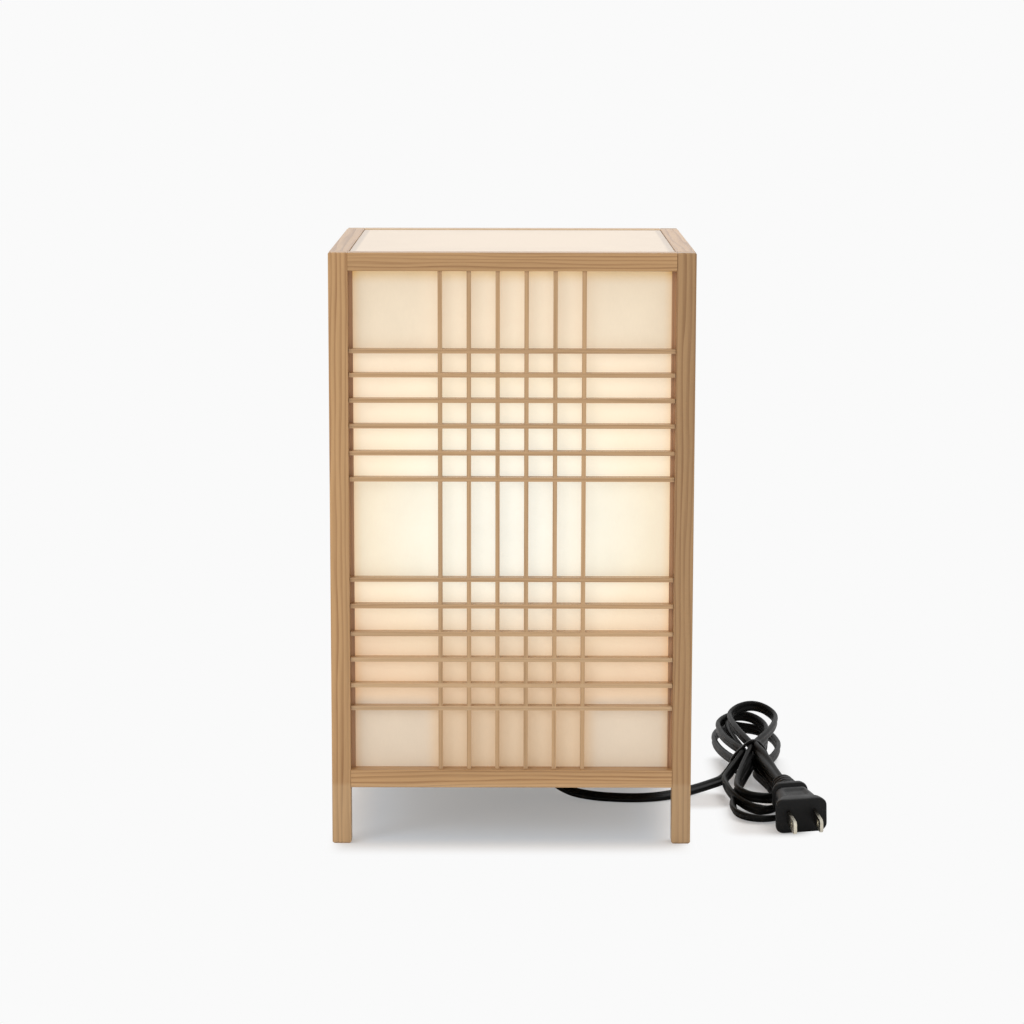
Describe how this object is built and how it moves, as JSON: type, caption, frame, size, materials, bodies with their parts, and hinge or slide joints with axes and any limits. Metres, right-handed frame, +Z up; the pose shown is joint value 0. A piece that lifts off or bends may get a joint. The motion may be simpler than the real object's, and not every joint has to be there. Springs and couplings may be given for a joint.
{
  "type": "andon floor lamp",
  "caption": "Square wooden andon lamp with a kumiko lattice over paper sides, a lift-out top sheet, a screw-in bulb and a black flat cord tied in a hank.",
  "frame": {"origin": "on the floor, under the centre of the square frame, with the free cord and its plug left out of the box", "axes": "+Z up, +Y from the front side to the back side, +X to the right of someone who faces the front"},
  "size_m": [0.237, 0.1986, 0.2807],
  "materials": {
    "frame_wood": "pale straight-grained softwood, planed and waxed, satin",
    "kumiko_wood": "pale fine-grained softwood, planed, matt",
    "washi": "long-fibre handmade paper, matt, lit warm from inside",
    "top_paper": "stiff laminated paper sheet, matt",
    "board_wood": "thin plywood and plain sticks, matt",
    "screw_steel": "zinc-plated steel",
    "holder_white": "moulded white thermoset, semi-gloss",
    "sleeve_metal": "nickel-plated brass, satin",
    "contact_brass": "plain brass",
    "wire_black": "black insulation, matt",
    "bulb_opal": "opal diffusing shell, satin, lit warm white",
    "bulb_white": "white moulded housing, matt",
    "insulator_black": "black glassy insulator with a plain metal foot contact",
    "light_board": "white-coated aluminium circuit board",
    "cord_black": "black flexible vinyl, satin",
    "tie_black": "thin black tie, satin",
    "plug_black": "black moulded vinyl, satin",
    "blade_metal": "nickel-plated brass, stamped"
  },
  "bodies": {
    "frame": {"front_left_post": "frame_wood", "front_right_post": "frame_wood", "back_right_post": "frame_wood", "back_left_post": "frame_wood", "front_top_rail": "frame_wood", "front_bottom_rail": "frame_wood", "right_top_rail": "frame_wood", "right_bottom_rail": "frame_wood", "back_top_rail": "frame_wood", "back_bottom_rail": "frame_wood", "left_top_rail": "frame_wood", "left_bottom_rail": "frame_wood", "front_uprights": "kumiko_wood", "front_upper_bars": "kumiko_wood", "front_lower_bars": "kumiko_wood", "front_stiles": "kumiko_wood", "front_washi": "washi", "front_top_ledge": "board_wood", "right_uprights": "kumiko_wood", "right_upper_bars": "kumiko_wood", "right_lower_bars": "kumiko_wood", "right_stiles": "kumiko_wood", "right_washi": "washi", "right_top_ledge": "board_wood", "back_uprights": "kumiko_wood", "back_upper_bars": "kumiko_wood", "back_lower_bars": "kumiko_wood", "back_stiles": "kumiko_wood", "back_washi": "washi", "back_top_ledge": "board_wood", "left_uprights": "kumiko_wood", "left_upper_bars": "kumiko_wood", "left_lower_bars": "kumiko_wood", "left_stiles": "kumiko_wood", "left_washi": "washi", "left_top_ledge": "board_wood", "base_board": "board_wood", "base_cleats": "board_wood", "base_screws": "screw_steel", "socket_base": "holder_white", "socket_skirt": "holder_white", "socket_contacts": "contact_brass", "socket_screws": "screw_steel", "terminal_wires": "wire_black", "cord_gland": "cord_black", "cord_lead": "cord_black", "cord_hank": "cord_black", "cord_tie": "tie_black", "cord_tail": "cord_black", "plug_relief": "plug_black", "plug_body": "plug_black", "plug_blades": "blade_metal"},
    "top_panel": {"top_sheet": "top_paper"},
    "screw_sleeve": {"socket_sleeve": "sleeve_metal"},
    "bulb": {"bulb_globe": "bulb_opal", "bulb_housing": "bulb_white", "bulb_neck": "bulb_white", "bulb_cap": "sleeve_metal", "bulb_foot": "insulator_black", "bulb_light_board": "light_board"}
  },
  "joints": [
    {"name": "top_lift", "type": "slide", "parent": "frame", "child": "top_panel", "axis": [0, 0, 1], "range_m": [0, 0.06]},
    {"name": "bulb_turn", "type": "hinge", "parent": "frame", "child": "screw_sleeve", "pos_m": [0, 0, 0.08], "axis": [0, 0, 1], "range_deg": [0, 1980]},
    {"name": "bulb_lift", "type": "slide", "parent": "screw_sleeve", "child": "bulb", "axis": [0, 0, 1], "range_m": [0, 0.01996]}
  ],
  "couplings": [
    {"joint": "bulb_lift", "follows": "bulb_turn", "m_per_rad": 0.00057757}
  ]
}
